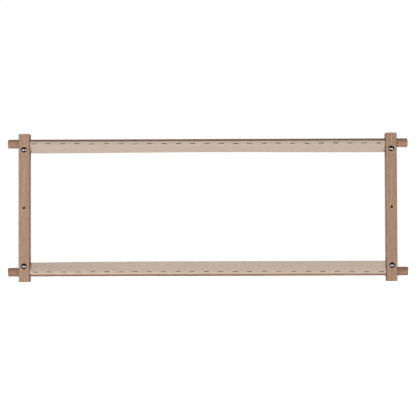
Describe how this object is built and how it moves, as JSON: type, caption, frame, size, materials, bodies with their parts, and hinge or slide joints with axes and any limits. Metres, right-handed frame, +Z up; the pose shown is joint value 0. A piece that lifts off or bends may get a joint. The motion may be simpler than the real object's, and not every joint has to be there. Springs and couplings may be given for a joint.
{
  "type": "scroll frame",
  "caption": "Upright embroidery scroll frame: split-end wooden side bars clamp wooden rollers with stapled fabric tapes, tightened by bolts and wing nuts.",
  "frame": {"origin": "under the middle of the whole frame, in the plane that the side bars' feet stand on", "axes": "+X along the rollers, towards the right side bar as seen from the front; +Z up the side bars; the front, with the bolt heads, faces -Y and the wing nuts face +Y"},
  "size_m": [0.8588, 0.0454, 0.318],
  "materials": {
    "bar_wood": "sanded beech",
    "roller_wood": "sanded beech dowel",
    "webbing": "plain woven cotton webbing",
    "staple_wire": "dull galvanised",
    "bolt_metal": "bright nickel plated",
    "zinc_plate": "bright zinc plated"
  },
  "bodies": {
    "left_bar": {"left_side_bar": "bar_wood", "top_left_bolt": "bolt_metal", "bottom_left_bolt": "bolt_metal"},
    "right_bar": {"right_side_bar": "bar_wood", "top_right_bolt": "bolt_metal", "bottom_right_bolt": "bolt_metal"},
    "upper_roller": {"top_roller": "roller_wood", "top_tape": "webbing", "top_staples": "staple_wire"},
    "lower_roller": {"bottom_roller": "roller_wood", "bottom_tape": "webbing", "bottom_staples": "staple_wire"},
    "top_left_washer": {"top_left_washer": "zinc_plate"},
    "top_right_washer": {"top_right_washer": "zinc_plate"},
    "bottom_left_washer": {"bottom_left_washer": "zinc_plate"},
    "bottom_right_washer": {"bottom_right_washer": "zinc_plate"},
    "top_left_nut": {"top_left_wing_nut": "zinc_plate"},
    "top_right_nut": {"top_right_wing_nut": "zinc_plate"},
    "bottom_left_nut": {"bottom_left_wing_nut": "zinc_plate"},
    "bottom_right_nut": {"bottom_right_wing_nut": "zinc_plate"}
  },
  "joints": [
    {"name": "top_roller_turn", "type": "hinge", "parent": "left_bar", "child": "upper_roller", "pos_m": [0, -0.00545, 0.297], "axis": [1, 0, 0], "continuous": true},
    {"name": "bottom_roller_turn", "type": "hinge", "parent": "left_bar", "child": "lower_roller", "pos_m": [0, -0.00545, 0.021], "axis": [1, 0, 0], "continuous": true},
    {"name": "right_bar_pull", "type": "slide", "parent": "left_bar", "child": "right_bar", "axis": [1, 0, 0], "range_m": [0, 0.05]},
    {"name": "top_left_washer_slide", "type": "slide", "parent": "left_bar", "child": "top_left_washer", "axis": [0, 1, 0], "range_m": [0, 0.0016]},
    {"name": "top_right_washer_slide", "type": "slide", "parent": "right_bar", "child": "top_right_washer", "axis": [0, 1, 0], "range_m": [0, 0.0016]},
    {"name": "bottom_left_washer_slide", "type": "slide", "parent": "left_bar", "child": "bottom_left_washer", "axis": [0, 1, 0], "range_m": [0, 0.0016]},
    {"name": "bottom_right_washer_slide", "type": "slide", "parent": "right_bar", "child": "bottom_right_washer", "axis": [0, 1, 0], "range_m": [0, 0.0016]},
    {"name": "top_left_nut_turn", "type": "hinge", "parent": "top_left_washer", "child": "top_left_nut", "pos_m": [-0.3937, 0.00975, 0.28397], "axis": [0, 1, 0], "range_deg": [0, 720]},
    {"name": "top_right_nut_turn", "type": "hinge", "parent": "top_right_washer", "child": "top_right_nut", "pos_m": [0.3937, 0.00975, 0.28397], "axis": [0, 1, 0], "range_deg": [0, 720]},
    {"name": "bottom_left_nut_turn", "type": "hinge", "parent": "bottom_left_washer", "child": "bottom_left_nut", "pos_m": [-0.3937, 0.00975, 0.03403], "axis": [0, 1, 0], "range_deg": [0, 720]},
    {"name": "bottom_right_nut_turn", "type": "hinge", "parent": "bottom_right_washer", "child": "bottom_right_nut", "pos_m": [0.3937, 0.00975, 0.03403], "axis": [0, 1, 0], "range_deg": [0, 720]}
  ],
  "couplings": [
    {"joint": "top_left_washer_slide", "follows": "top_left_nut_turn", "m_per_rad": 0.00012732},
    {"joint": "top_right_washer_slide", "follows": "top_right_nut_turn", "m_per_rad": 0.00012732},
    {"joint": "bottom_left_washer_slide", "follows": "bottom_left_nut_turn", "m_per_rad": 0.00012732},
    {"joint": "bottom_right_washer_slide", "follows": "bottom_right_nut_turn", "m_per_rad": 0.00012732}
  ]
}
